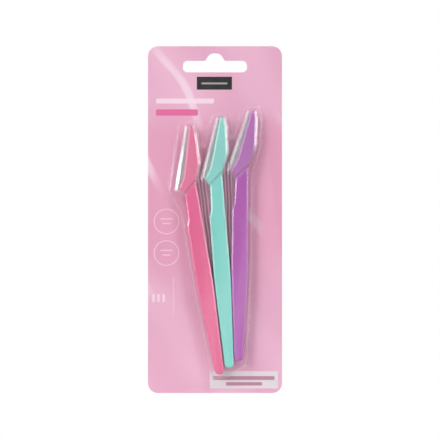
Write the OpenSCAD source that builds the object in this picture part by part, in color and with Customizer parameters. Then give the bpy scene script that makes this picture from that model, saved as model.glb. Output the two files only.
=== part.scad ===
// A hanging retail pack: a printed card, a clear formed blister and three capped eyebrow razors.
// The pack hangs upright. X is to the right, Z is up and the front faces -Y.
// The origin is the middle of the hang slot, on the back face of the card.

/* [Card] */
// Width of the card
card_w = 68; // [66:1:76]
// Height of the card
card_h = 176; // [172:1:190]
// Thickness of the board
card_t = 0.6; // [0.4:0.1:1]
// Radius of the card's corners
card_r = 5; // [2:0.5:8]
// Height of the card above the middle of the hang slot
card_above = 10.3; // [9.5:0.1:14]

/* [Hang slot] */
// Width of the slot
slot_w = 32.5; // [28:0.5:36]
// Height of the slot at its sides
slot_h = 5.9; // [5:0.1:7]
// Width of the raised middle of the slot
bump_w = 9.8; // [8:0.2:12]
// Rise of the middle above the sides
bump_h = 3.8; // [2.5:0.1:5]
// Radius at the ends of the slot
slot_r = 2.4; // [1:0.1:2.5]

/* [Razor] */
// Length of the grip, from the tail to the neck
grip_l = 88.6; // [84:0.2:91]
// Widest part of the grip
grip_w = 8.5; // [7.5:0.1:8.6]
// Length of the head above the neck
head_l = 37.4; // [35:0.2:38.4]
// Width that the outline of the head is drawn from
head_w = 14; // [13:0.1:14.1]
// Thickness of the handle and of the head with its clamp
razor_t = 4.6; // [4:0.1:5]
// Bevel along the long edges of the handle and clamp
razor_bevel = 0.9; // [0.4:0.1:1.2]

/* [Blade] */
// Thickness of the blade
blade_t = 0.25; // [0.15:0.05:0.4]
// Width of the blade at its heel
blade_heel_w = 5.4; // [5.2:0.1:5.6]
// Width of the blade at its tip
blade_tip_w = 3.6; // [3.5:0.1:4]
// Height of the ground bevel at the cutting edge
grind_w = 0.6; // [0.4:0.1:0.8]
// Radius of the pegs that hold the blade
peg_r = 0.6; // [0.4:0.05:0.8]

/* [Blade guard] */
// Thickness of the guard's steel
guard_t = 0.2; // [0.15:0.05:0.3]
// Width of the guard's two flanges
guard_w = 1.1; // [0.9:0.1:1.2]
// Distance from one slit to the next
slit_pitch = 1.1; // [0.9:0.1:2]
// Width of a slit
slit_w = 0.4; // [0.3:0.05:0.5]

/* [Cap] */
// Wall of the cap
cap_wall = 0.6; // [0.5:0.05:0.8]
// Gap between the cap and the head
cap_gap = 0.35; // [0.25:0.05:0.45]
// Bevel along the edges of the cap's back
cap_bevel = 0.8; // [0.3:0.1:1]
// Width of the slanted facet round the cap's front
facet_w = 1.9; // [1.4:0.1:2.1]
// Height of that facet
facet_h = 0.85; // [0.5:0.05:1]

/* [Blister] */
// Thickness of the clear sheet
sheet_t = 0.4; // [0.3:0.05:0.5]
// Distance from the card's edge to the sheet's edge
sheet_margin = 0.8; // [0.4:0.1:1.5]
// Gap between a razor and the foot of its lobe's wall
lobe_gap = 2.3; // [2.1:0.1:2.8]
// Gap between a head and the foot of the wall in the valley beside it
valley_gap = 1.5; // [1.4:0.1:1.7]
// Extra width of a lobe at its top, on the side of the cutting edge
lobe_flare = 1.4; // [1:0.1:1.8]
// Extra width of a lobe at the heel of the cutting edge
heel_flare = 1; // [0.6:0.1:1.2]
// Width of the lobe's shoulder
shoulder_w = 1.8; // [1.2:0.1:2]
// Height of the lobe's shoulder
shoulder_h = 1.6; // [1:0.1:1.8]

/* [Layout] */
// Gap that keeps a cap off the card and off the blister
pack_gap = 0.35; // [0.25:0.05:0.5]
// Place of the middle razor's tail, across
tail_x = 7.3; // [6:0.1:8]
// Depth of the middle razor's tail below the hang slot
tail_drop = 152.4; // [151:0.1:154]
// Step from one razor's tail to the next, across
tail_step_x = 4.7; // [4.6:0.1:5.2]
// Step from one razor's neck to the next, across
neck_step_x = 12.42; // [12.32:0.1:12.92]
// Step from one razor's tail to the next, upwards
tail_step_z = 3.35; // [3:0.05:3.6]
// Lean of the middle razor to the left, in degrees
fan_lean = 4.45; // [3.5:0.05:5]

/* [Hidden] */
RAZORS = ["pink", "mint", "purple"];
PARTS = ["handle", "blade", "blade_guard", "blade_clamp", "cap"];
$fn = 48;

pink = [0.89, 0.43, 0.60];
mint = [0.50, 0.83, 0.79];
purple = [0.69, 0.37, 0.69];
card_pink = [0.91, 0.69, 0.80];
clear = [0.93, 0.90, 0.94, 0.35];
steel = [0.72, 0.73, 0.75];

// Length that a cut runs past the face it opens
overrun = 1;
// Stations along the handle besides those at its corners
station_count = 16;
// Least step between stations: share of grip_w
least_step_share = 0.014;
// Most of the handle's width that one bevel may take up
bevel_share = 0.3;
// Smallest radius that an outline keeps when it is moved inwards
least_r = 0.3;
// Angle that one step of a rounded corner turns through, and the least turn that is rounded
turn_step = 15;
least_turn = 4;
// Most of an edge that the rounding of one corner may take up
edge_share = 0.45;
// Gap round the blade in its seat, and round a peg in its hole
seat_gap = 0.1;
// Half the thickness left at the cutting edge
edge_land = 0.02;
// Depth of a peg in the clamp
peg_reach = 0.9;
// Steps in the lobe's shoulder
shoulder_steps = 5;
// Radius at the bottom of a valley between two heads
valley_r = 0.8;
// Radii of a lobe at its tip and at its heel: shares of head_w
lobe_r_shares = [0.22, 0.15];
// How far a lobe starts to widen below the cap, right side and left side: shares of head_w
widen_shares = [0.25, 0.15];
// Width of the top of the slot's raised middle: share of bump_w
bump_top_share = 0.53;
// Radii of the slot's raised middle, at its foot and at its top: shares of slot_r and bump_h
bump_r_shares = [0.5, 0.92];

// Right side of the grip, from its tail up: shares of grip_w, grip_l and grip_w
grip_right_shares = [[0.26, 0, 0.25], [0.5, 0.52, 35]];
// Left side of the grip, from the finger rest above the step down to its tail
grip_left_shares = [
    [-0.34, 0.955, 0.9], [-0.36, 0.9, 0.3], [-0.49, 0.866, 0.2], [-0.5, 0.52, 35], [-0.26, 0, 0.25]
];
// Outline of the head's plastic, from the right of the neck: shares of head_w, head_l and head_w
head_shares = [
    [0.282, 0.245, 0], [0.514, 0.49, 1.1], [0.55, 0.888, 0.35], [0.493, 1, 0.12], [0.36, 1, 0.04],
    [-0.129, 0.337, 0.5], [-0.35, 0.198, 0], [-0.3, 0.152, 0], [-0.186, 0.107, 0]
];
// Ends of the clamp's lower edge: how far along the head's edges on the left and right of the neck
clamp_foot_shares = [0.95, 0.155];
// Space that the cap goes round, from the point of its lip: shares of head_w, head_l and head_w
room_shares = [
    [-0.143, 0.075, 0.1], [0.312, 0.267, 0.05], [0.521, 0.49, 1.1], [0.557, 0.888, 0.35],
    [0.5, 1.003, 0.12], [0.262, 1.003, 0.05], [-0.465, 0.195, 0.04]
];
// Places of the pegs along the cutting edge and in from it: shares of edge_l and blade_heel_w
peg_shares = [[0.28, 0.67], [0.68, 0.55]];
// Run of the guard and of the blade along the cutting edge: shares of edge_l
guard_run_shares = [0.012, 0.972];
blade_run_shares = [0.02, 0.962];

// Angle between neighbouring razors
fan_step = asin((neck_step_x - tail_step_x) / grip_l);
cap_grow = cap_gap + cap_wall;
cap_t = razor_t + 2 * cap_grow;
razor_mid = card_t + pack_gap + cap_t / 2;
cavity_depth = pack_gap + cap_t + pack_gap;
guard_gauge = blade_t + 2 * guard_t;

function unit(v) = v / norm(v);
function spot(corner) = [corner[0], corner[1]];
function next_of(c, i) = c[(i + 1) % len(c)];
function prev_of(c, i) = c[(i + len(c) - 1) % len(c)];
function inward(a, b) = unit([a.y - b.y, b.x - a.x]);
function between(a, b, share) = concat(spot(a + (b - a) * share), 0);

// One rounded corner as a true arc, from the tangent point before it to the one after it
function corner_arc(before, at, after, r) =
    let (
        back = unit(before - at),
        on = unit(after - at),
        half = acos(max(-1, min(1, back * on))) / 2,
        room = min(norm(before - at), norm(after - at)) * edge_share,
        reach = min(r / tan(half), room),
        start = at + back * reach,
        stop = at + on * reach,
        weight = sin(half),
        turn = 180 - 2 * half,
        steps = ceil(turn / turn_step)
    )
    r == 0 || turn < least_turn ? [at] :
        [for (i = [0 : steps])
            let (t = i / steps, u = 1 - t, k = 2 * t * u * weight)
            (u * u * start + k * at + t * t * stop) / (u * u + k + t * t)];

// A closed outline of [x, y, radius] corners as plain points
function rounded(c) = [
    for (i = [0 : len(c) - 1])
        each corner_arc(spot(prev_of(c, i)), spot(c[i]), spot(next_of(c, i)), c[i][2])
];

// An outline whose edges move inwards, each by its own distance, or outwards where that is negative
function moved_corner(before, at, after, d1, d2) =
    let (
        n1 = inward(spot(before), spot(at)),
        n2 = inward(spot(at), spot(after)),
        k = n1.x * n2.y - n1.y * n2.x,
        step = [(d1 * n2.y - d2 * n1.y) / k, (d2 * n1.x - d1 * n2.x) / k]
    )
    [at.x + step.x, at.y + step.y, at[2] == 0 ? 0 : max(least_r, at[2] - sign(k) * (d1 + d2) / 2)];
function moved(c, edges) = [
    for (i = [0 : len(c) - 1])
        moved_corner(prev_of(c, i), c[i], next_of(c, i), prev_of(edges, i), edges[i])
];
function inset(c, d) = moved(c, [for (p = c) d]);

// The rounded corners of an open run as [y, x] pairs, without its two end points
function side_pairs(c) = [
    for (i = [1 : len(c) - 2])
        for (p = corner_arc(spot(c[i - 1]), spot(c[i]), spot(c[i + 1]), c[i][2]))
            [p.y, p.x]
];

// Numbers in rising order, and the same without those that come too close to the one before
function in_order(v) = len(v) < 2 ? v :
    let (m = v[0])
    concat(in_order([for (x = v) if (x < m) x]), [m], in_order([for (x = v) if (x > m) x]));
function spaced(v) = [
    for (i = [0 : len(v) - 1])
        if (i == 0 || v[i] - v[i - 1] > least_step_share * grip_w) v[i]
];

// Corners from a table of shares
function scaled(shares, w, l, base) = [for (s = shares) [s[0] * w, base + s[1] * l, s[2] * w]];

grip_right = scaled(grip_right_shares, grip_w, grip_l, 0);
grip_left = scaled(grip_left_shares, grip_w, grip_l, 0);
head_outline = scaled(head_shares, head_w, head_l, grip_l);
clamp_foot = [
    between(head_outline[7], head_outline[8], clamp_foot_shares[0]),
    between(head_outline[0], head_outline[1], clamp_foot_shares[1])
];
cap_room = scaled(room_shares, head_w, head_l, grip_l);

// The two sides of the handle, from the tail up
handle_right = side_pairs(concat(
    [grip_left[4]], grip_right, [for (i = [0 : 4]) head_outline[i]]
));
handle_left = side_pairs(concat(
    [grip_right[0]], [for (i = [4 : -1 : 0]) grip_left[i]], [for (i = [8 : -1 : 3]) head_outline[i]]
));
handle_l = grip_l + head_l;

// The clamp covers the head above its lower edge
clamp_outline = concat(clamp_foot, [for (i = [1 : 7]) head_outline[i]]);
// The handle is cut back to its middle above the same edge
clamp_step = inward(spot(clamp_foot[0]), spot(clamp_foot[1]));
clamp_line = [for (p = clamp_foot) spot(p) - clamp_step * seat_gap];
clamp_room = [
    clamp_line[0] - (clamp_line[1] - clamp_line[0]), clamp_line[1] + (clamp_line[1] - clamp_line[0]),
    [head_w, grip_l + head_l + overrun], [-head_w, grip_l + head_l + overrun]
];

// Stations along the handle: every corner of its sides, and others between them
handle_stations = spaced(in_order(concat(
    [for (p = handle_right) p.x], [for (p = handle_left) p.x],
    [for (i = [1 : station_count - 1]) handle_l * i / station_count]
)));

// The cutting edge runs from the heel to the tip of the room inside the cap
heel = spot(cap_room[6]);
tip = spot(cap_room[5]);
edge_l = norm(tip - heel);
edge_lean = atan2(tip.x - heel.x, tip.y - heel.y);

// The cap's outline, and the hollow in it, which runs out past the two edges of its lip
cap_outline = inset(cap_room, -cap_grow);
function hollow(d) = moved(cap_outline, [-overrun, d, d, d, d, d, -overrun]);

// Outline of a whole capped razor with its lobe's gap, in the razor's own frame
lobe_r = lobe_r_shares * head_w;
widen = widen_shares * head_w;
razor_outline = [
    grip_left[4], grip_right[0], grip_right[1],
    [grip_right[1].x, cap_outline[1].y - widen[0], 0],
    cap_outline[2], cap_outline[3],
    [cap_outline[4].x, cap_outline[4].y, lobe_r[0]],
    [cap_outline[5].x - lobe_flare, cap_outline[5].y, lobe_r[0]],
    [cap_outline[6].x - heel_flare, cap_outline[6].y, lobe_r[1]],
    [grip_left[3].x, grip_left[0].y - widen[1], 0],
    grip_left[3]
];
open_lobe = inset(razor_outline, -lobe_gap);
tight_lobe = inset(razor_outline, -valley_gap);

// A point of a razor's own frame in the frame of the card
function lean(place) = fan_lean - (place - 1) * fan_step;
function on_card(place, p) = [
    tail_x + (place - 1) * tail_step_x + p.x * cos(lean(place)) - p.y * sin(lean(place)),
    (place - 1) * tail_step_z - tail_drop + p.x * sin(lean(place)) + p.y * cos(lean(place)),
    p[2]
];

// Where the line from a to b meets the line from c to d
function meeting(a, b, c, d) =
    let (
        u = b - a,
        v = d - c,
        k = u.x * v.y - u.y * v.x,
        t = ((c.x - a.x) * v.y - (c.y - a.y) * v.x) / k
    )
    a + u * t;
function valley(place) = concat(
    meeting(
        spot(on_card(place, tight_lobe[7])), spot(on_card(place, tight_lobe[8])),
        spot(on_card(place - 1, tight_lobe[5])), spot(on_card(place - 1, tight_lobe[4]))
    ),
    valley_r
);

// Foot of the blister's wall: round the three razors, with a valley between neighbouring heads
pack_outline = concat(
    [on_card(0, open_lobe[0]), on_card(0, open_lobe[1])],
    [for (i = [1 : 6]) on_card(2, open_lobe[i])],
    [on_card(2, tight_lobe[7]), valley(2)],
    [on_card(1, tight_lobe[5]), on_card(1, tight_lobe[6]), on_card(1, tight_lobe[7]), valley(1)],
    [on_card(0, tight_lobe[5]), on_card(0, tight_lobe[6])],
    [for (i = [7 : 10]) on_card(0, open_lobe[i])]
);

bump_top = bump_top_share * bump_w;
bump_r = [bump_r_shares[0] * slot_r, bump_r_shares[1] * bump_h];
slot_outline = [
    [-slot_w / 2, -slot_h / 2, slot_r], [slot_w / 2, -slot_h / 2, slot_r],
    [slot_w / 2, slot_h / 2, slot_r], [bump_w / 2, slot_h / 2, bump_r[0]],
    [bump_top / 2, slot_h / 2 + bump_h, bump_r[1]], [-bump_top / 2, slot_h / 2 + bump_h, bump_r[1]],
    [-bump_w / 2, slot_h / 2, bump_r[0]], [-slot_w / 2, slot_h / 2, slot_r]
];

card_outline = [
    [-card_w / 2, card_above - card_h, card_r], [card_w / 2, card_above - card_h, card_r],
    [card_w / 2, card_above, card_r], [-card_w / 2, card_above, card_r]
];

// Solids are drawn in the plane of the card, rising towards the front, and then stood up
module stand() {
    rotate([90, 0, 0]) children();
}

// One solid through outlines of equal length, each at its own level
module loft(outlines, levels) {
    rings = [for (o = outlines) rounded(o)];
    n = len(rings[0]);
    points = [for (i = [0 : len(rings) - 1]) for (p = rings[i]) [p.x, p.y, levels[i]]];
    sides = [
        for (i = [0 : len(rings) - 2]) for (j = [0 : n - 1])
            let (a = i * n + j, b = i * n + (j + 1) % n)
            each [[a, a + n, b + n], [a, b + n, b]]
    ];
    floor_face = [for (j = [0 : n - 1]) j];
    roof_face = [for (j = [n - 1 : -1 : 0]) (len(rings) - 1) * n + j];
    polyhedron(points = points, faces = concat([floor_face], sides, [roof_face]));
}

// A plate with only its upper rim bevelled
module bevelled_above(outline, bottom, top, bevel) {
    loft([outline, outline, inset(outline, bevel)], [bottom, top - bevel, top]);
}

module plate(outline, bottom, top) {
    translate([0, 0, bottom])
        linear_extrude(top - bottom)
            polygon(rounded(outline));
}

// Places a razor: 0 is the left one, 1 the middle one and 2 the right one
module razor_place(place) {
    translate([tail_x + (place - 1) * tail_step_x, (place - 1) * tail_step_z - tail_drop, 0])
        rotate([0, 0, lean(place)])
            children();
}

// Razor pieces are drawn about the middle plane of the razor
module in_pack(place) {
    stand()
        translate([0, 0, razor_mid])
            razor_place(place)
                children();
}

// Along the cutting edge: Y runs from heel to tip and X goes in from the edge
module at_edge() {
    translate(heel) rotate([0, 0, -edge_lean]) children();
}

module pegs(r, bottom, top) {
    at_edge()
        for (s = peg_shares)
            translate([s[1] * blade_heel_w, s[0] * edge_l, bottom])
                cylinder(r = r, h = top - bottom);
}

// Outline of the blade in the frame of its edge, grown by a gap
function blade_outline(gap) = [
    [guard_t - gap, blade_run_shares[0] * edge_l - gap],
    [blade_heel_w + gap, blade_run_shares[0] * edge_l + grind_w - gap],
    [blade_tip_w + gap, blade_run_shares[1] * edge_l - grind_w + gap],
    [guard_t - gap, blade_run_shares[1] * edge_l + gap]
];

// Section of the handle at a station: eight points, bevelled at the four corners
function handle_section(y) =
    let (
        left = lookup(y, handle_left),
        right = lookup(y, handle_right),
        side = min(razor_bevel, (right - left) * bevel_share),
        face = min(razor_t / 2, razor_t / 2 - razor_bevel + min(y, handle_l - y)),
        rim = face - razor_bevel
    )
    [
        [left, y, -rim], [left, y, rim], [left + side, y, face], [right - side, y, face],
        [right, y, rim], [right, y, -rim], [right - side, y, -face], [left + side, y, -face]
    ];

module handle_body() {
    sections = [for (y = handle_stations) handle_section(y)];
    n = len(sections[0]);
    last = len(sections) - 1;
    sides = [
        for (i = [0 : last - 1]) for (j = [0 : n - 1])
            let (a = i * n + j, b = i * n + (j + 1) % n)
            each [[a, a + n, b + n], [a, b + n, b]]
    ];
    tail_face = [for (j = [0 : n - 1]) j];
    top_face = [for (j = [n - 1 : -1 : 0]) last * n + j];
    polyhedron(points = [for (s = sections) each s], faces = concat([tail_face], sides, [top_face]));
}

module handle() {
    difference() {
        handle_body();
        translate([0, 0, blade_t / 2])
            linear_extrude(razor_t)
                polygon(clamp_room);
        at_edge()
            translate([0, 0, -blade_t / 2])
                linear_extrude(razor_t)
                    polygon(blade_outline(seat_gap));
    }
    pegs(peg_r, -blade_t, blade_t / 2 + peg_reach);
}

module blade() {
    grind_angle = atan2(blade_t / 2 - edge_land, grind_w);
    difference() {
        at_edge()
            translate([0, 0, -blade_t / 2])
                linear_extrude(blade_t)
                    polygon(blade_outline(0));
        pegs(peg_r + seat_gap, -blade_t, blade_t);
        at_edge()
            for (side = [-1, 1])
                translate([guard_t, -overrun, side * edge_land])
                    rotate([0, -side * grind_angle, 0])
                        translate([-overrun, 0, min(side, 0) * overrun])
                            cube([grind_w / cos(grind_angle) + overrun, edge_l + 2 * overrun, overrun]);
    }
}

module blade_guard() {
    first = guard_run_shares[0] * edge_l;
    last = guard_run_shares[1] * edge_l;
    slits = floor((last - first - slit_pitch) / slit_pitch);
    start = (first + last - (slits - 1) * slit_pitch) / 2;
    at_edge()
        difference() {
            translate([0, first, -guard_gauge / 2])
                cube([guard_w, last - first, guard_gauge]);
            translate([guard_t, first - overrun, -blade_t / 2])
                cube([guard_w, last - first + 2 * overrun, blade_t]);
            for (i = [0 : slits - 1])
                translate([-overrun, start + i * slit_pitch - slit_w / 2, -guard_gauge])
                    cube([guard_w / 2 + overrun, slit_w, 2 * guard_gauge]);
        }
}

module blade_clamp() {
    difference() {
        bevelled_above(clamp_outline, blade_t / 2, razor_t / 2, razor_bevel);
        pegs(peg_r + seat_gap, -blade_t, blade_t / 2 + peg_reach + seat_gap);
    }
}

// The hollow follows the facets of the front, so that the wall keeps its thickness
module cap() {
    roof = razor_t / 2 + cap_gap;
    hollow_facet_h = facet_h * (facet_w - cap_wall) / facet_w;
    difference() {
        loft(
            [inset(cap_outline, cap_bevel), cap_outline, cap_outline, inset(cap_outline, facet_w)],
            [-cap_t / 2, cap_bevel - cap_t / 2, cap_t / 2 - facet_h, cap_t / 2]
        );
        loft(
            [hollow(cap_wall), hollow(cap_wall), hollow(facet_w)],
            [-roof, roof - hollow_facet_h, roof]
        );
    }
}

module backing_card() {
    color(card_pink)
        stand()
            difference() {
                plate(card_outline, 0, card_t);
                plate(slot_outline, -overrun, card_t + overrun);
            }
}

// A dome with upright walls and a shoulder in small steps
module dome(outline, bottom, top) {
    plate(outline, bottom, top - shoulder_h);
    for (k = [1 : shoulder_steps])
        plate(
            inset(outline, shoulder_w * k / shoulder_steps),
            top - shoulder_h * (shoulder_steps - k + 1) / shoulder_steps - sheet_t / 2,
            top - shoulder_h * (shoulder_steps - k) / shoulder_steps
        );
}

module blister() {
    roof = card_t + cavity_depth + sheet_t;
    color(clear)
        stand()
            difference() {
                union() {
                    plate(inset(card_outline, sheet_margin), card_t, card_t + sheet_t);
                    dome(pack_outline, card_t + sheet_t / 2, roof);
                }
                dome(inset(pack_outline, sheet_t), card_t - overrun, roof - sheet_t);
                plate(inset(slot_outline, -sheet_margin), card_t - overrun, card_t + sheet_t + overrun);
            }
}

module pink_handle() color(pink) in_pack(0) handle();
module pink_blade() color(steel) in_pack(0) blade();
module pink_blade_guard() color(steel) in_pack(0) blade_guard();
module pink_blade_clamp() color(pink) in_pack(0) blade_clamp();
module pink_cap() color(clear) in_pack(0) cap();

module mint_handle() color(mint) in_pack(1) handle();
module mint_blade() color(steel) in_pack(1) blade();
module mint_blade_guard() color(steel) in_pack(1) blade_guard();
module mint_blade_clamp() color(mint) in_pack(1) blade_clamp();
module mint_cap() color(clear) in_pack(1) cap();

module purple_handle() color(purple) in_pack(2) handle();
module purple_blade() color(steel) in_pack(2) blade();
module purple_blade_guard() color(steel) in_pack(2) blade_guard();
module purple_blade_clamp() color(purple) in_pack(2) blade_clamp();
module purple_cap() color(clear) in_pack(2) cap();

backing_card();
blister();
pink_handle();
pink_blade();
pink_blade_guard();
pink_blade_clamp();
pink_cap();
mint_handle();
mint_blade();
mint_blade_guard();
mint_blade_clamp();
mint_cap();
purple_handle();
purple_blade();
purple_blade_guard();
purple_blade_clamp();
purple_cap();
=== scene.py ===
# Looks of a hanging pack: a printed card, a clear formed blister and three capped eyebrow razors
import math

import bmesh
import bpy
from mathutils import Matrix, Vector


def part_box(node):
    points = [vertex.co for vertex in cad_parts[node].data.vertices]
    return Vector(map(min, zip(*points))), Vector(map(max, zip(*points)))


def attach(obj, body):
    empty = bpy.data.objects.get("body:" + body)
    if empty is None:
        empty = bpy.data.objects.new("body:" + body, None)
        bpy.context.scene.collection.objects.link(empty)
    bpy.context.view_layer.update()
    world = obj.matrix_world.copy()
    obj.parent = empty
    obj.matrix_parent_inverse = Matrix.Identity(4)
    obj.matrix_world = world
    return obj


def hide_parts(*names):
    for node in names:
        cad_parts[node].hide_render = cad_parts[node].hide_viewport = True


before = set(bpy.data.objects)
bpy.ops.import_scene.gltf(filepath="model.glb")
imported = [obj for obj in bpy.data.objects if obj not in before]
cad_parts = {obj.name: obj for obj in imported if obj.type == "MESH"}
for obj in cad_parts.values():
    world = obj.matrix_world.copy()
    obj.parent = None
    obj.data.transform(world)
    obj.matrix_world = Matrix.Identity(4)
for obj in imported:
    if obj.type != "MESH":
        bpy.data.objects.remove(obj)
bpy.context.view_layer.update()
M = 0.001

# The card, in millimetres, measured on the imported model
card_low, card_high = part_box("backing_card")
card_w = round((card_high[0] - card_low[0]) / M, 2)
card_h = round((card_high[2] - card_low[2]) / M, 2)
card_t = round((card_high[1] - card_low[1]) / M, 2)
card_above = round(card_high[2] / M, 2)

# Sizes in millimetres and a lean in degrees, under the names that the part's source gives them
card_r = 5
slot_w = 32.5
slot_h = 5.9
slot_r = 2.4
bump_w = 9.8
bump_h = 3.8
grip_l = 88.6
grip_w = 8.5
head_l = 37.4
head_w = 14
razor_t = 4.6
razor_bevel = 0.9
blade_t = 0.25
blade_heel_w = 5.4
blade_tip_w = 3.6
grind_w = 0.6
guard_t = 0.2
cap_wall = 0.6
cap_gap = 0.35
cap_bevel = 0.8
facet_w = 1.9
facet_h = 0.85
sheet_t = 0.4
sheet_margin = 0.8
lobe_gap = 2.3
valley_gap = 1.5
lobe_flare = 1.4
heel_flare = 1
shoulder_w = 1.8
shoulder_h = 1.6
pack_gap = 0.35
tail_x = 7.3
tail_drop = 152.4
tail_step_x = 4.7
neck_step_x = 12.42
tail_step_z = 3.35
fan_lean = 4.45
seat_gap = 0.1
valley_r = 0.8
overrun = 1

# Sizes in millimetres that only the looks need
# Height of the facet along a handle, which catches the light better than the source's square bevel
bevel_depth = 0.4
# Radius at the foot of the blister's wall, lean of the wall, and what the inner skin lacks in depth
foot_r = 0.5
wall_lean = 0.35
skin_gap = 0.03
# Width of the strip that ends a slanted facet
flat_edge = 0.08
# Radius of the clamp's lower corners, and the least radius that an outline keeps when it is moved
clamp_r = 0.14
least_r = 0.12
# Radius where a lobe starts to widen
widen_r = 7

# Shares of grip_w, grip_l and grip_w: each side of the grip
grip_right_shares = [(0.26, 0, 0.25), (0.5, 0.52, 35)]
grip_left_shares = [
    (-0.34, 0.955, 0.9), (-0.36, 0.9, 0.3), (-0.49, 0.866, 0.2), (-0.5, 0.52, 35), (-0.26, 0, 0.25),
]
# Shares of head_w, head_l and head_w: the head's plastic, and the space that the cap goes round
head_shares = [
    (0.282, 0.245, 0.5), (0.514, 0.49, 1.1), (0.55, 0.888, 0.35), (0.493, 1, 0.12), (0.36, 1, 0.04),
    (-0.129, 0.337, 0.5), (-0.35, 0.198, 0.03), (-0.3, 0.152, 0.04), (-0.186, 0.107, 0.05),
]
room_shares = [
    (-0.143, 0.075, 0.1), (0.312, 0.267, 0.05), (0.521, 0.49, 1.1), (0.557, 0.888, 0.35),
    (0.5, 1.003, 0.12), (0.262, 1.003, 0.05), (-0.465, 0.195, 0.04),
]
# How far along the head's two edges the clamp's lower corners lie
clamp_foot_shares = (0.95, 0.155)
# Shares of the cutting edge's length that the blade runs from and to
blade_run_shares = (0.02, 0.962)
# Shares of head_w: radii of a lobe at its tip and heel, and where it starts to widen, right and left
lobe_r_shares = (0.22, 0.15)
widen_shares = (0.25, 0.15)
# Share of bump_w, and shares of slot_r and bump_h: the raised middle of the hang slot
bump_top_share = 0.53
bump_r_shares = (0.5, 0.92)
# Share of a facet that each of its soft edges takes up, and the last drop of such an edge
soft_share = 0.12
last_drop_share = 0.15

# Rounding, finer than in the solids: degrees of one step, least steps, and most of an edge used up
turn_step = 7.5
least_steps = 2
edge_share = 0.45
# Steps in the foot of the blister's wall, degrees of each, and steps in its shoulder
foot_steps = 4
foot_step = 30
shoulder_steps = 8
# Degrees between two faces from which their edge is sharp
sharp_angle = 38

fan_step = math.degrees(math.asin((neck_step_x - tail_step_x) / grip_l))
cap_grow = cap_gap + cap_wall
cap_t = razor_t + 2 * cap_grow
razor_mid = card_t + pack_gap + cap_t / 2
roof_level = card_t + pack_gap + cap_t + pack_gap + sheet_t


# Outlines: closed runs of (x, y, radius) corners
def unit(v):
    n = math.hypot(*v)
    return v[0] / n, v[1] / n


def corner_arc(before, at, after, r):
    """One rounded corner as a true arc, from the tangent point before it to the one after it."""
    back = unit((before[0] - at[0], before[1] - at[1]))
    on = unit((after[0] - at[0], after[1] - at[1]))
    half = math.acos(max(-1, min(1, back[0] * on[0] + back[1] * on[1]))) / 2
    room = min(math.dist(before, at), math.dist(after, at)) * edge_share
    reach = min(r / math.tan(half), room)
    start = at[0] + back[0] * reach, at[1] + back[1] * reach
    stop = at[0] + on[0] * reach, at[1] + on[1] * reach
    turn = 180 - 2 * math.degrees(half)
    steps = max(least_steps, math.ceil(turn / turn_step))
    weight = math.sin(half)
    points = []
    for i in range(steps + 1):
        t = i / steps
        u = 1 - t
        k = 2 * t * u * weight
        total = u * u + k + t * t
        points.append(tuple((u * u * start[a] + k * at[a] + t * t * stop[a]) / total for a in (0, 1)))
    return points


def rounded(c):
    points = []
    for i in range(len(c)):
        points += corner_arc(c[i - 1][:2], c[i][:2], c[(i + 1) % len(c)][:2], c[i][2])
    return points


def inward(a, b):
    return unit((a[1] - b[1], b[0] - a[0]))


def moved(c, edges):
    """An outline whose edges move inwards, each by its own distance."""
    out = []
    for i in range(len(c)):
        n1, n2 = inward(c[i - 1], c[i]), inward(c[i], c[(i + 1) % len(c)])
        k = n1[0] * n2[1] - n1[1] * n2[0]
        d1, d2 = edges[i - 1], edges[i]
        out.append((
            c[i][0] + (d1 * n2[1] - d2 * n1[1]) / k,
            c[i][1] + (d2 * n1[0] - d1 * n2[0]) / k,
            max(least_r, c[i][2] - math.copysign((d1 + d2) / 2, k)),
        ))
    return out


def inset(c, d):
    return moved(c, [d] * len(c))


def between(a, b, share):
    return a[0] + (b[0] - a[0]) * share, a[1] + (b[1] - a[1]) * share, clamp_r


def scaled(shares, w, l, base):
    return [(x * w, base + y * l, r * w) for x, y, r in shares]


grip_right = scaled(grip_right_shares, grip_w, grip_l, 0)
grip_left = scaled(grip_left_shares, grip_w, grip_l, 0)
head = scaled(head_shares, head_w, head_l, grip_l)
clamp_foot = [
    between(head[7], head[8], clamp_foot_shares[0]),
    between(head[0], head[1], clamp_foot_shares[1]),
]
cap_room = scaled(room_shares, head_w, head_l, grip_l)
handle_outline = grip_right + head + grip_left
clamp_outline = clamp_foot + head[1:8]
cap_outline = inset(cap_room, -cap_grow)

# The cutting edge runs from the heel to the tip of the space inside the cap
heel, tip = cap_room[6][:2], cap_room[5][:2]
edge_l = math.dist(heel, tip)
edge_lean = math.atan2(tip[0] - heel[0], tip[1] - heel[1])
blade_start, blade_stop = (share * edge_l for share in blade_run_shares)

# Outline of a whole capped razor, in the razor's own frame
lobe_r = [share * head_w for share in lobe_r_shares]
widen = [share * head_w for share in widen_shares]
razor_outline = [
    grip_left[4], grip_right[0], grip_right[1],
    (grip_right[1][0], cap_outline[1][1] - widen[0], widen_r),
    cap_outline[2], cap_outline[3],
    (cap_outline[4][0], cap_outline[4][1], lobe_r[0]),
    (cap_outline[5][0] - lobe_flare, cap_outline[5][1], lobe_r[0]),
    (cap_outline[6][0] - heel_flare, cap_outline[6][1], lobe_r[1]),
    (grip_left[3][0], grip_left[0][1] - widen[1], widen_r),
    grip_left[3],
]
open_lobe = inset(razor_outline, -lobe_gap)
tight_lobe = inset(razor_outline, -valley_gap)


def lean(place):
    return fan_lean - (place - 1) * fan_step


def on_card(place, p):
    """A point of a razor's own frame in the frame of the card."""
    a = math.radians(lean(place))
    c, s = math.cos(a), math.sin(a)
    return (
        tail_x + (place - 1) * tail_step_x + p[0] * c - p[1] * s,
        (place - 1) * tail_step_z - tail_drop + p[0] * s + p[1] * c,
        p[2] if len(p) > 2 else 0,
    )


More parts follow.
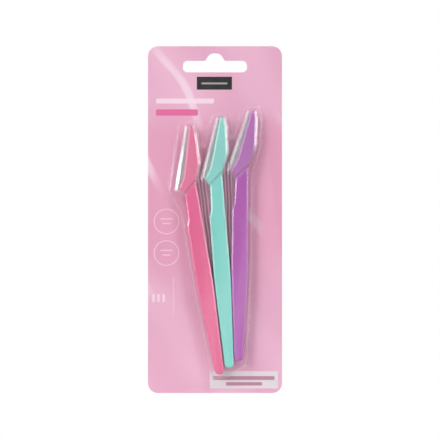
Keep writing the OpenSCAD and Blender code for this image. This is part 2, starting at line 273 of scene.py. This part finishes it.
def valley(place):
    """Where the lobe of one razor meets the lobe of the razor to its left."""
    a, b = on_card(place, tight_lobe[7]), on_card(place, tight_lobe[8])
    c, d = on_card(place - 1, tight_lobe[5]), on_card(place - 1, tight_lobe[4])
    u, v = (b[0] - a[0], b[1] - a[1]), (d[0] - c[0], d[1] - c[1])
    t = ((c[0] - a[0]) * v[1] - (c[1] - a[1]) * v[0]) / (u[0] * v[1] - u[1] * v[0])
    return a[0] + u[0] * t, a[1] + u[1] * t, valley_r


# Foot of the blister's wall: round the three razors, with a valley between neighbouring heads
pack_outline = (
    [on_card(0, open_lobe[0]), on_card(0, open_lobe[1])]
    + [on_card(2, open_lobe[i]) for i in range(1, 7)]
    + [on_card(2, tight_lobe[7]), valley(2)]
    + [on_card(1, tight_lobe[5]), on_card(1, tight_lobe[6]), on_card(1, tight_lobe[7]), valley(1)]
    + [on_card(0, tight_lobe[5]), on_card(0, tight_lobe[6])]
    + [on_card(0, open_lobe[i]) for i in range(7, 11)]
)

bump_top = bump_top_share * bump_w
bump_r = bump_r_shares[0] * slot_r, bump_r_shares[1] * bump_h
slot_outline = [
    (-slot_w / 2, -slot_h / 2, slot_r), (slot_w / 2, -slot_h / 2, slot_r),
    (slot_w / 2, slot_h / 2, slot_r), (bump_w / 2, slot_h / 2, bump_r[0]),
    (bump_top / 2, slot_h / 2 + bump_h, bump_r[1]), (-bump_top / 2, slot_h / 2 + bump_h, bump_r[1]),
    (-bump_w / 2, slot_h / 2, bump_r[0]), (-slot_w / 2, slot_h / 2, slot_r),
]
card_outline = [
    (-card_w / 2, card_above - card_h, card_r), (card_w / 2, card_above - card_h, card_r),
    (card_w / 2, card_above, card_r), (-card_w / 2, card_above, card_r),
]


# Meshes
def stood(p, level):
    """A point of the card's plane, at a height towards the front, in the frame's metres."""
    return p[0] * M, -level * M, p[1] * M


def razor_point(place, p, level):
    return stood(on_card(place, p), razor_mid + level)


def smooth(mesh):
    for face in mesh.polygons:
        face.use_smooth = True
    mesh.set_sharp_from_angle(angle=math.radians(sharp_angle))


def add_object(name, bm):
    bmesh.ops.recalc_face_normals(bm, faces=bm.faces)
    mesh = bpy.data.meshes.new(name)
    bm.to_mesh(mesh)
    bm.free()
    obj = bpy.data.objects.new(name, mesh)
    bpy.context.scene.collection.objects.link(obj)
    smooth(mesh)
    return obj


def loft(bm, rings, place_point, floor=True, roof=True):
    """Skins rings of equal length, each a list of points and its level."""
    rows = [[bm.verts.new(place_point(p, level)) for p in points] for points, level in rings]
    n = len(rows[0])
    for a, b in zip(rows, rows[1:]):
        for j in range(n):
            bm.faces.new((a[j], a[(j + 1) % n], b[(j + 1) % n], b[j]))
    if floor:
        bm.faces.new(rows[0][::-1])
    if roof:
        bm.faces.new(rows[-1])
    return rows


def cut(obj, tool):
    """Takes the tool's solid out of a piece, and the tool out of the scene."""
    mod = obj.modifiers.new("cut", "BOOLEAN")
    mod.operation = "DIFFERENCE"
    mod.solver = "EXACT"
    mod.object = tool
    graph = bpy.context.evaluated_depsgraph_get()
    mesh = bpy.data.meshes.new_from_object(obj.evaluated_get(graph))
    obj.modifiers.clear()
    obj.data = mesh
    bpy.data.objects.remove(tool)


def facet_rim(outline, wide, deep, level, way):
    """Rings of a slanted facet with soft edges, from the wall to the flat face at a level."""
    soft = min(wide, deep) * soft_share
    profile = (
        (0, deep + 2 * soft),
        (soft, deep - soft),
        (wide - 2 * soft, 2 * soft * deep / wide),
        (wide - soft / 2, soft * last_drop_share),
        (wide + soft, 0),
    )
    return [(rounded(inset(outline, x)), level - way * y) for x, y in profile]


def slab(name, outline, bottom, top, back, front, place):
    """A plate with a facet round its back and its front, each given as (width, height) or None."""
    bm = bmesh.new()
    rings = facet_rim(outline, *back, bottom, -1)[::-1] if back else [(rounded(outline), bottom)]
    rings += facet_rim(outline, *front, top, 1)
    loft(bm, rings, lambda p, level: razor_point(place, p, level))
    return add_object(name, bm)


def prism(name, points, bottom, top, place):
    bm = bmesh.new()
    loft(bm, [(points, bottom), (points, top)], lambda p, level: razor_point(place, p, level))
    return add_object(name, bm)


def along_edge(x, y):
    """A point given along the cutting edge, in the razor's own frame."""
    c, s = math.cos(edge_lean), math.sin(edge_lean)
    return heel[0] + x * c + y * s, heel[1] - x * s + y * c


def make_handle(name, place):
    """The handle and the back half of its head, cut back for the clamp and hollowed for the blade."""
    edge = (razor_bevel, bevel_depth)
    obj = slab(name, handle_outline, -razor_t / 2, razor_t / 2, edge, edge, place)
    n = inward(clamp_foot[0], clamp_foot[1])
    a, b = ((p[0] - n[0] * seat_gap, p[1] - n[1] * seat_gap) for p in clamp_foot)
    d = (b[0] - a[0], b[1] - a[1])
    top = grip_l + head_l + overrun
    above = [(a[0] - d[0], a[1] - d[1]), (b[0] + d[0], b[1] + d[1]), (head_w, top), (-head_w, top)]
    cut(obj, prism("tool", above, blade_t / 2, razor_t, place))
    seat = [
        along_edge(guard_t - seat_gap, blade_start - seat_gap),
        along_edge(blade_heel_w + seat_gap, blade_start + grind_w - seat_gap),
        along_edge(blade_tip_w + seat_gap, blade_stop - grind_w + seat_gap),
        along_edge(guard_t - seat_gap, blade_stop + seat_gap),
    ]
    cut(obj, prism("tool", seat, -blade_t / 2, razor_t / 2, place))
    smooth(obj.data)
    return obj


def make_clamp(name, place):
    edge = (razor_bevel, bevel_depth)
    return slab(name, clamp_outline, blade_t / 2, razor_t / 2, None, edge, place)


def hollow(d):
    """The space inside a cap, which runs out past the two edges of its lip."""
    return moved(cap_outline, [-overrun] + [d] * 5 + [-overrun])


def make_cap(name, place):
    edge = (cap_bevel, cap_bevel)
    obj = slab(name, cap_outline, -cap_t / 2, cap_t / 2, edge, (facet_w, facet_h), place)
    roof = razor_t / 2 + cap_gap
    drop = facet_h * (facet_w - cap_wall) / facet_w
    profile = (
        (cap_wall, -roof),
        (cap_wall, roof - drop),
        (facet_w, roof),
        (facet_w + flat_edge, roof),
    )
    bm = bmesh.new()
    rings = [(rounded(hollow(d)), level) for d, level in profile]
    loft(bm, rings, lambda p, level: razor_point(place, p, level))
    cut(obj, add_object("tool", bm))
    smooth(obj.data)
    return obj


def sheet_rings(gap):
    """Rings of one skin of the clear sheet: a rounded foot, a leaning wall, a shoulder and the top."""
    low, top = card_t + sheet_t - gap, roof_level - gap
    profile = []
    for k in range(foot_steps):
        a = math.radians(foot_step * k)
        profile.append((foot_r * (math.sin(a) - 1), low + foot_r * (1 - math.cos(a))))
    for k in range(shoulder_steps):
        a = math.radians(90 * k / (shoulder_steps - 1))
        across = wall_lean + (shoulder_w - wall_lean) * (1 - math.cos(a))
        profile.append((across, top - shoulder_h * (1 - math.sin(a))))
    profile.append((shoulder_w + flat_edge, top))
    return [(rounded(inset(pack_outline, gap + x)), level) for x, level in profile]


def closed_edges(bm, ring):
    pairs = [(ring[i - 1], ring[i]) for i in range(len(ring))]
    return [bm.edges.get(pair) or bm.edges.new(pair) for pair in pairs]


def make_blister():
    """The clear sheet formed over the razors: two skins joined at the sheet's edge and round the slot."""
    bm = bmesh.new()
    borders = inset(card_outline, sheet_margin), inset(slot_outline, -sheet_margin)
    skins = []
    for gap in (0, sheet_t - skin_gap):
        foot = loft(bm, sheet_rings(gap), stood, floor=False)[0]
        level = card_t + sheet_t - gap
        rims = [[bm.verts.new(stood(p, level)) for p in rounded(c)] for c in borders]
        edges = [edge for ring in (foot, *rims) for edge in closed_edges(bm, ring)]
        bmesh.ops.triangle_fill(bm, use_beauty=True, use_dissolve=False, edges=edges)
        skins.append(rims)
    for outer, inner in zip(*skins):
        for i in range(len(outer)):
            bm.faces.new((outer[i - 1], outer[i], inner[i], inner[i - 1]))
    return add_object("blister_sheet", bm)


# Node graphs
# Where most values of a noise lie, the whole run of a share, and that run the other way
spread = (0.3, 0.7)
whole = (0, 1)
falling = (1, 0)


def colour(text):
    """A colour written as it shows on screen, in the linear values that the nodes take."""
    rgb = [int(text[i:i + 2], 16) / 255 for i in (1, 3, 5)]
    return [c / 12.92 if c <= 0.04045 else ((c + 0.055) / 1.055) ** 2.4 for c in rgb] + [1]


class Graph:
    """The node tree of a material or of the world, with short calls for the nodes used here."""

    def __init__(self, owner, shader="Principled BSDF", coordinates="Object"):
        owner.use_nodes = True
        self.owner = owner
        self.nodes = owner.node_tree.nodes
        self.links = owner.node_tree.links
        self.shader = self.nodes[shader]
        self.place = self.nodes.new("ShaderNodeTexCoord").outputs[coordinates]

    def put(self, socket, value):
        if isinstance(value, bpy.types.NodeSocket):
            self.links.new(value, socket)
        else:
            socket.default_value = value

    def set(self, **values):
        """Sets the shader's own sockets, with _ in place of a space in their names."""
        for key, value in values.items():
            self.put(self.shader.inputs[key.replace("_", " ")], value)

    def math(self, op, a, b=0.0):
        node = self.nodes.new("ShaderNodeMath")
        node.operation = op
        for socket, value in zip(node.inputs, (a, b)):
            self.put(socket, value)
        return node.outputs[0]

    def add(self, first, *others):
        for other in others:
            first = self.math("ADD", first, other)
        return first

    def times(self, first, *others):
        for other in others:
            first = self.math("MULTIPLY", first, other)
        return first

    def most(self, first, *others):
        for other in others:
            first = self.math("MAXIMUM", first, other)
        return first

    def off(self, a, b=0.0):
        """How far two values lie apart."""
        return self.math("ABSOLUTE", self.math("SUBTRACT", a, b))

    def length(self, a, b):
        return self.math("SQRT", self.add(self.times(a, a), self.times(b, b)))

    def mapped(self, scale=(1, 1, 1), turn=(0, 0, 0), shift=(0, 0, 0)):
        node = self.nodes.new("ShaderNodeMapping")
        self.put(node.inputs["Vector"], self.place)
        node.inputs["Scale"].default_value = scale
        node.inputs["Rotation"].default_value = [math.radians(a) for a in turn]
        node.inputs["Location"].default_value = shift
        return node.outputs[0]

    def noise(self, scale, detail=3, rough=0.5, vector=None):
        node = self.nodes.new("ShaderNodeTexNoise")
        self.put(node.inputs["Vector"], vector or self.place)
        node.inputs["Scale"].default_value = scale
        node.inputs["Detail"].default_value = detail
        node.inputs["Roughness"].default_value = rough
        return node.outputs["Fac"]

    def wave(self, scale, distortion, detail, detail_scale, vector):
        node = self.nodes.new("ShaderNodeTexWave")
        self.put(node.inputs["Vector"], vector)
        node.inputs["Scale"].default_value = scale
        node.inputs["Distortion"].default_value = distortion
        node.inputs["Detail"].default_value = detail
        node.inputs["Detail Scale"].default_value = detail_scale
        return node.outputs["Fac"]

    def remap(self, value, source, target, smooth=False):
        """Stretches one run of values over another, and holds its ends beyond them."""
        node = self.nodes.new("ShaderNodeMapRange")
        if smooth:
            node.interpolation_type = "SMOOTHSTEP"
        self.put(node.inputs["Value"], value)
        for key, number in zip(("From Min", "From Max", "To Min", "To Max"), (*source, *target)):
            node.inputs[key].default_value = number
        return node.outputs["Result"]

    def mix(self, amount, a, b):
        node = self.nodes.new("ShaderNodeMix")
        node.data_type = "RGBA"
        self.put(node.inputs[0], amount)
        self.put(node.inputs[6], a)
        self.put(node.inputs[7], b)
        return node.outputs[2]

    def split(self, vector=None):
        node = self.nodes.new("ShaderNodeSeparateXYZ")
        self.put(node.inputs[0], vector or self.place)
        return node.outputs

    def bump(self, height, strength, distance):
        node = self.nodes.new("ShaderNodeBump")
        node.inputs["Strength"].default_value = strength
        node.inputs["Distance"].default_value = distance
        self.put(node.inputs["Height"], height)
        self.put(self.shader.inputs["Normal"], node.outputs[0])


def new_material(name):
    return Graph(bpy.data.materials.new(name))


# Plastic and steel
def plastic(name, base, deep, pale):
    """Moulded plastic: a faint flow of colour, a fine satin skin and slight scuffs."""
    g = new_material(name)
    flow = g.noise(scale=90, detail=4, rough=0.55, vector=g.mapped(scale=(1, 1, 0.25)))
    tone = g.mix(g.remap(flow, spread, whole), colour(deep), colour(base))
    speck = g.noise(scale=2600, detail=2)
    tone = g.mix(g.remap(speck, (0.62, 0.8), (0, 0.3)), tone, colour(pale))
    scuff = g.noise(scale=700, detail=5, rough=0.65, vector=g.mapped(scale=(1, 1, 0.08)))
    g.set(Base_Color=tone, Roughness=g.remap(scuff, (0.3, 0.75), (0.16, 0.28)))
    g.set(Coat_Weight=0.5, Coat_Roughness=0.1, IOR=1.5)
    grain = g.add(g.times(g.noise(scale=5200, detail=2), 0.4), g.noise(scale=1200))
    g.bump(grain, strength=0.04, distance=0.03 * M)
    return g.owner


def steel(name, base, rough):
    """Ground steel, with its grain across the cutting edge."""
    g = new_material(name)
    grain = g.noise(scale=900, detail=4, rough=0.6, vector=g.mapped(scale=(1, 1, 14), turn=(0, 18, 0)))
    tone = g.mix(g.remap(grain, spread, whole), colour(base), colour("#D9DADC"))
    tone = g.mix(g.remap(g.noise(scale=160), (0.35, 0.7), (0, 0.35)), tone, colour("#9C9DA2"))
    g.set(Base_Color=tone, Roughness=g.remap(grain, spread, (rough - 0.06, rough + 0.08)))
    g.set(Metallic=1.0)
    g.bump(grain, strength=0.15, distance=0.02 * M)
    return g.owner


# Places read off the photo: pixels to the right and down, on a picture with 0.508 mm to a pixel
pixel = 0.508 * M
slot_x, slot_y = 215, 66.65


def px(x):
    return (x - slot_x) * pixel


def pz(y):
    return (slot_y - y) * pixel


# Clear plastic
# Bundles of fine lines between the necks, shown as painted highlight and painted shade: pixel across, pixel
# of the top, and lean in degrees
line_bundles = ((205.5, 168, 6.5), (228.6, 158, 2.0))
# Pixels below a bundle's top: where it has faded in, where its lean turns about, and where it fades out
line_fade_in = 8
line_turn = 40
line_fade_out = (60, 120)
# Distance from line to line, half width of a bundle inside its soft edge and with it, and waver
line_step = 1.6 * M
bundle_core = 1.8 * M
bundle_half = 3.2 * M
line_waver = 1.2 * M
# Heights at which the lines show as pale painted highlight and as dark painted shade, and how much they
# take from the clearness
gleam_line_run = (0.2, 1)
shade_line_run = (-0.2, -1)
gleam_line_alpha = 0.36
shade_line_alpha = 0.2


def forming_line_gleam_and_shade(g):
    """Heights of the fine lines that forming leaves in the sheet between the necks of the razors; they set
    where the sheet gets painted highlight and painted shade.
    """
    z = g.split()[2]
    height = 0.0
    for middle, top, turn in line_bundles:
        across = g.split(g.mapped(turn=(0, turn, 0)))[0]
        start = Vector((px(middle), 0, pz(top + line_turn)))
        start.rotate(Matrix.Rotation(math.radians(turn), 3, "Y"))
        inside = g.remap(g.off(across, start.x), (bundle_core, bundle_half), falling, smooth=True)
        low, high = (pz(top + drop) for drop in reversed(line_fade_out))
        run = g.times(
            g.remap(z, (low, high), whole, smooth=True),
            g.remap(z, (pz(top + line_fade_in), pz(top)), falling),
        )
        waver = g.times(g.noise(scale=55, detail=2), line_waver)
        bands = g.math("SINE", g.times(g.add(across, waver), 2 * math.pi / line_step))
        height = g.add(height, g.times(inside, run, bands))
    return height


def clear(name, tint, rim, alphas, rough, power, film, lines=None):
    """Clear plastic: see-through where it faces the eye, and a bright skin where it turns away; given
    lines, pale lines of painted highlight and dark lines of painted shade.
    """
    g = new_material(name)
    weight = g.nodes.new("ShaderNodeLayerWeight")
    weight.inputs["Blend"].default_value = 0.5
    facing = weight.outputs["Facing"]
    haze = g.noise(scale=60)
    cloud = g.remap(haze, (0.35, 0.7), (0, alphas[0] * 0.4))
    alpha = g.add(g.remap(g.math("POWER", facing, power), whole, alphas), cloud)
    tone = g.mix(g.remap(haze, spread, whole), colour(tint), colour("#FFFFFF"))
    tone = g.mix(g.remap(facing, (0.8, 0.97), whole, smooth=True), tone, colour(rim))
    if lines:
        height = lines(g)
        # Pale lines of painted highlight where the line heights run high, and dark mauve lines of painted
        # shade where they run low
        gleam_line = g.remap(height, gleam_line_run, whole)
        shade_line = g.remap(height, shade_line_run, whole)
        alpha = g.add(alpha, g.add(g.times(gleam_line, gleam_line_alpha), g.times(shade_line, shade_line_alpha)))
        tone = g.mix(shade_line, g.mix(gleam_line, tone, colour("#FFD8E6")), colour("#9C4C72"))
    scuffs = g.mapped(scale=(1, 1, 0.1), turn=(0, 20, 0))
    scuff = g.noise(scale=420, detail=5, rough=0.6, vector=scuffs)
    g.set(Alpha=alpha, Base_Color=tone, Roughness=g.remap(scuff, (0.3, 0.8), (rough, rough + 0.08)))
    g.set(Metallic=film, IOR=1.57)
    g.bump(g.noise(scale=140, detail=2), strength=0.05, distance=0.1 * M)
    return g.owner


# Printed card
# Printed boxes: left, top, right and bottom pixel, corner radius in millimetres, ink and strength
prints = {
    "plate": (197, 77, 231.8, 89.6, 0, "#0E0C10", 1),
    "plate_bar": (201.5, 82.6, 227.3, 84.4, 0.2, "#E4E1E4", 0.45),
    "pale_bar": (156, 98.6, 214, 103.6, 0.8, "#F6DCE9", 0.85),
    "deep_bar": (156, 109.4, 198, 115.8, 0.8, "#E1669C", 1),
    "rule": (173, 277, 173.9, 315, 0.1, "#F3CFE0", 0.6),
    "panel": (210, 371.2, 277.8, 388.1, 0, "#DFD5DA", 1),
    "panel_bar_above": (213, 376, 274.5, 379.8, 0.5, "#B0587F", 0.8),
    "panel_bar_below": (226, 382, 262, 385.4, 0.5, "#B0587F", 0.8),
}
# Upright strokes: pixels of their middles, of half their width, and of their top and bottom
stroke_xs = (153.6, 158.6, 163.6)
stroke_half = 1.2
stroke_run = (294, 302)
stroke_finish = (0.4, "#F5D8E6", 0.85)
# Rings: pixels of their middles and of their radius, width of the line, ink and strength
ring_x = 166.5
ring_ys = (221.5, 253)
ring_r = 12.3
ring_line = 0.28 * M
ring_ink = "#F3CFE0"
ring_strength = 0.9
# Two short bars in a ring: left and right pixel, and top and bottom counted from the ring's middle
ring_bars = ((160.5, 172.5, -3.2, -2.0), (162.5, 170.5, 1.4, 2.6))
ring_bar_finish = (0.2, "#F3CFE0", 0.8)
# Soft edge of a printed box and of a ring
box_soft = 0.18 * M
ring_soft = 0.15 * M
# Pixels down the card between which its middle is a deeper pink: fades in, and fades out
deep_from = (95, 140)
deep_to = (240, 300)
# Behind the card's front face: where the ink is still whole, and where the bare board begins
ink_run = (0.02 * M, 0.04 * M)


def printed_boxes():
    """All printed boxes, in the order in which they lie over each other."""
    strokes = [(x - stroke_half, stroke_run[0], x + stroke_half, stroke_run[1]) for x in stroke_xs]
    bars = [(left, y + top, right, y + bottom) for y in ring_ys for left, right, top, bottom in ring_bars]
    return (
        list(prints.values())
        + [stroke + stroke_finish for stroke in strokes]
        + [bar + ring_bar_finish for bar in bars]
    )


def satin_folds(g, z):
    """Soft satin folds in pinks, a little deeper over the middle of the card."""
    leaning = g.mapped(turn=(0, 38, 0), shift=(0.004, 0, 0.01))
    folds = g.wave(scale=9, distortion=5.5, detail=2, detail_scale=0.8, vector=leaning)
    broad = g.noise(scale=22, detail=2, vector=g.mapped(scale=(1, 1, 0.6), turn=(0, -30, 0)))
    tone = g.mix(g.remap(folds, whole, whole, smooth=True), colour("#E1A5C1"), colour("#E6AFC9"))
    tone = g.mix(g.remap(broad, (0.42, 0.68), (0, 0.5), smooth=True), tone, colour("#E9B6CF"))
    middle = g.times(
        g.remap(z, (pz(deep_to[1]), pz(deep_to[0])), (0, 0.8), smooth=True),
        g.remap(z, (pz(deep_from[1]), pz(deep_from[0])), falling, smooth=True),
    )
    tone = g.mix(middle, tone, colour("#E099B7"))
    gleam = g.times(
        g.remap(folds, (0.93, 1), whole, smooth=True),
        g.remap(broad, (0.5, 0.66), whole, smooth=True),
        0.6,
    )
    return g.mix(gleam, tone, colour("#F8E2EE"))


def printed_box(g, x, z, left, top, right, bottom, radius):
    """A mask of a box with rounded corners, given in pixels and metres."""
    half_w, half_h = (px(right) - px(left)) / 2, (pz(top) - pz(bottom)) / 2
    dx = g.most(g.math("SUBTRACT", g.off(x, (px(left) + px(right)) / 2), half_w - radius), 0.0)
    dz = g.most(g.math("SUBTRACT", g.off(z, (pz(top) + pz(bottom)) / 2), half_h - radius), 0.0)
    start = radius - box_soft / 2 if radius else 0
    return g.remap(g.length(dx, dz), (start, start + box_soft), falling)


def printed_ring(g, x, z, middle_y):
    """A mask of a ring with a thin line."""
    out = g.length(g.math("SUBTRACT", x, px(ring_x)), g.math("SUBTRACT", z, pz(middle_y)))
    edge = ring_line / 2
    return g.remap(g.off(out, ring_r * pixel), (edge, edge + ring_soft), falling)


def card_material():
    """Printed board: soft satin folds with plain bars, strokes and rings, and a bare pale back."""
    g = new_material("printed_card")
    x, y, z = g.split()
    tone = satin_folds(g, z)
    for *box, radius, ink, strength in printed_boxes():
        mask = printed_box(g, x, z, *box, radius * M)
        tone = g.mix(g.times(mask, strength), tone, colour(ink))
    for middle_y in ring_ys:
        mask = printed_ring(g, x, z, middle_y)
        tone = g.mix(g.times(mask, ring_strength), tone, colour(ring_ink))
    fibre = g.noise(scale=1500, detail=4, rough=0.7)
    tone = g.mix(g.remap(fibre, (0.35, 0.75), (0, 0.05)), tone, colour("#FFFFFF"))
    pulp = g.noise(scale=420, detail=5, rough=0.7)
    board = g.mix(g.remap(pulp, (0.3, 0.75), whole), colour("#D8D3CC"), colour("#E9E6E1"))
    front = g.remap(y, [depth - card_t * M for depth in ink_run], falling)
    g.set(Base_Color=g.mix(front, board, tone))
    g.set(Roughness=g.remap(g.noise(scale=900, detail=4), spread, (0.5, 0.62)), Specular_IOR_Level=0.12)
    g.bump(g.noise(scale=2400, detail=4, rough=0.6), strength=0.04, distance=0.02 * M)
    return g.owner


# Pieces
def dress(obj, material, body, node):
    """Gives a new piece its material, the body it rides on and the solid that it stands for."""
    obj.data.materials.clear()
    obj.data.materials.append(material)
    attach(obj, body)
    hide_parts(node)


def dress_node(node, material):
    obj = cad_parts[node]
    for i in range(len(obj.material_slots)):
        obj.material_slots[i].material = material


def let_light_through(obj):
    """Clear plastic takes next to no light from what lies behind it."""
    obj.visible_shadow = False
    obj.visible_diffuse = False


# Base colour, and its deep and pale tones
razors = {
    "pink": ("#E56594", "#E05F8E", "#F08FB2"),
    "mint": ("#82D6CC", "#7CCFC5", "#A8E4DD"),
    "purple": ("#B057AE", "#A951A8", "#C68AC6"),
}
dress_node("backing_card", card_material())
# The sheet gets fine lines of painted highlight and painted shade between the necks
sheet_look = clear(
    "clear_sheet", "#F6EEF3", "#A79AA3", (0.012, 0.85), rough=0.05, power=2.6, film=0.7, lines=forming_line_gleam_and_shade
)
sheet = make_blister()
let_light_through(sheet)
dress(sheet, sheet_look, "blister", "blister")
cap_look = clear("cap_plastic", "#F6F2F6", "#F4F0F4", (0.06, 0.9), rough=0.06, power=2.0, film=0.6)
blade_look = steel("blade_steel", "#D8D6DA", rough=0.42)
guard_look = steel("guard_steel", "#D0CED2", rough=0.44)
for place, (name, tones) in enumerate(razors.items()):
    slot = name + "_plastic"
    skin = plastic(slot, *tones)
    body = name + "_razor"
    dress(make_handle(name + "_handle_body", place), skin, body, name + "_handle")
    dress(make_clamp(name + "_clamp_plate", place), skin, body, name + "_blade_clamp")
    cap = make_cap(name + "_clear_cap", place)
    let_light_through(cap)
    dress(cap, cap_look, name + "_cap", name + "_cap")
    dress_node(name + "_blade", blade_look)
    dress_node(name + "_blade_guard", guard_look)

# Camera: the photo's width, the place of its middle, and the distance from the card's back
photo_w = 223.5 * M
photo_middle = (2.54 * M, -77.9 * M)
camera_distance = 0.84
sensor_w = 36
camera = bpy.data.objects.new("camera", bpy.data.cameras.new("camera"))
camera.data.sensor_width = sensor_w
camera.data.lens = sensor_w * camera_distance / photo_w
camera.location = (photo_middle[0], -camera_distance, photo_middle[1])
camera.rotation_euler = (math.radians(90), 0, 0)
bpy.context.scene.collection.objects.link(camera)
bpy.context.scene.camera = camera

# Floor: its height, half its side, how much of its own light it has, and where it fades to white
floor_z = -0.226
floor_half = 0.26
floor_lift = 0.25
floor_fade_shares = (0.45, 0.97)


def floor_material():
    """White floor that keeps the shadow under the object and fades into the white background."""
    g = new_material("pale_floor")
    x, y = g.split()[:2]
    reach = [share * floor_half for share in floor_fade_shares]
    fade = g.remap(g.length(x, y), reach, whole, smooth=True)
    grain = g.mix(g.remap(g.noise(scale=6), spread, whole), colour("#EFEFEF"), colour("#F4F4F4"))
    path = g.nodes.new("ShaderNodeLightPath").outputs
    seen = g.most(path["Is Camera Ray"], path["Is Glossy Ray"], path["Is Transmission Ray"])
    g.set(Base_Color=g.mix(fade, grain, (0, 0, 0, 1)))
    g.set(Emission_Strength=g.times(seen, g.remap(fade, whole, (floor_lift, 1))))
    g.set(Emission_Color=(1, 1, 1, 1), Roughness=1, Specular_IOR_Level=0)
    return g.owner


def make_floor():
    bm = bmesh.new()
    corners = ((-1, -1), (1, -1), (1, 1), (-1, 1))
    bm.faces.new([bm.verts.new((x * floor_half, y * floor_half, floor_z)) for x, y in corners])
    floor = add_object("floor", bm)
    floor.data.materials.append(floor_material())


make_floor()

# Lamps, in metres: place, width and height, and brightness
pack_middle = (0, 0, -0.08)
lamps = {
    "left_box": ((-0.8, -0.7, 0.28), (0.5, 0.7), 4.4),
    "right_box": ((0.85, -0.75, 0.25), (0.45, 0.7), 2.0),
    "right_gleam": ((0.86, -0.78, 0.11), (0.2, 0.32), 3.6),
    "left_gleam": ((-0.86, -0.78, -0.01), (0.2, 0.3), 6),
    "top_left": ((-0.42, -0.45, 0.75), (0.12, 0.12), 52),
    "top_right": ((0.46, -0.45, 0.75), (0.12, 0.12), 52),
    "rear_left": ((-0.7, 0.8, 0.2), (0.6, 0.7), 3.0),
    "rear_right": ((0.8, 0.7, 0.3), (0.5, 0.7), 2.4),
    "low_panel": ((0, -0.86, -0.215), (0.7, 0.12), 1.3),
    "left_strip": ((-0.9, 0.03, -0.02), (0.12, 0.5), 1.5),
    "right_strip": ((0.9, 0.03, -0.02), (0.12, 0.5), 1.5),
}
# Lamps that only gloss shows, and the low panel's own aim and roll in degrees
gloss_lamps = ("right_gleam", "left_gleam")
aims = {"low_panel": (0, 0, -0.13)}
rolls = {"low_panel": 30}


def lamp(name, where, size, radiance):
    """An area lamp of a set brightness, turned towards its aim and rolled about its own axis."""
    light = bpy.data.lights.new(name, "AREA")
    light.shape = "RECTANGLE"
    light.size, light.size_y = size
    light.energy = radiance * math.pi * size[0] * size[1]
    obj = bpy.data.objects.new(name, light)
    obj.location = where
    ahead = Vector(aims.get(name, pack_middle)) - Vector(where)
    roll = Matrix.Rotation(math.radians(rolls.get(name, 0)), 4, "Z")
    obj.rotation_euler = (ahead.to_track_quat("-Z", "Y").to_matrix().to_4x4() @ roll).to_euler()
    obj.visible_diffuse = name not in gloss_lamps
    bpy.context.scene.collection.objects.link(obj)


for name, row in lamps.items():
    lamp(name, *row)

# World: its plain light, and what gloss sees in it, by the direction from the object
world_light = 0.455
# Grey in front and white behind, and the run of Y between them
back_gloss = (0.35, 1)
back_run = (-0.5, 0)
# Bright band at both sides in front: its strength, the runs of X and Y that bound it, and those of Z
side_gloss = 2.5
side_run = (0.67, 0.73)
side_end = (-0.5, -0.3)
side_low = (-0.19, -0.13)
side_high = (0.13, 0.22)
# Strength of the band above and below that, as a share of it
side_rest = 0.25


def studio_world():
    """Plain light all round; the camera sees white, and gloss sees white behind and grey in front."""
    world = bpy.data.worlds.new("studio")
    bpy.context.scene.world = world
    g = Graph(world, "Background", "Generated")
    x, y, z = g.split()
    path = g.nodes.new("ShaderNodeLightPath").outputs
    behind = g.remap(y, back_run, back_gloss, smooth=True)
    front = g.remap(y, side_end, (side_gloss, 0), smooth=True)
    above = g.remap(z, side_high, (1, side_rest), smooth=True)
    below = g.remap(z, side_low, (side_rest, 1), smooth=True)
    aside = g.remap(g.off(x), side_run, whole, smooth=True)
    sides = g.times(aside, front, above, below)
    gloss = g.most(path["Is Glossy Ray"], path["Is Transmission Ray"])
    seen = g.most(path["Is Camera Ray"], g.times(gloss, g.add(behind, sides)))
    plain = g.math("SUBTRACT", 1.0, g.most(path["Is Camera Ray"], gloss))
    g.set(Color=(1, 1, 1, 1), Strength=g.add(seen, g.times(plain, world_light)))


studio_world()

scene = bpy.context.scene
scene.view_settings.view_transform = "Standard"
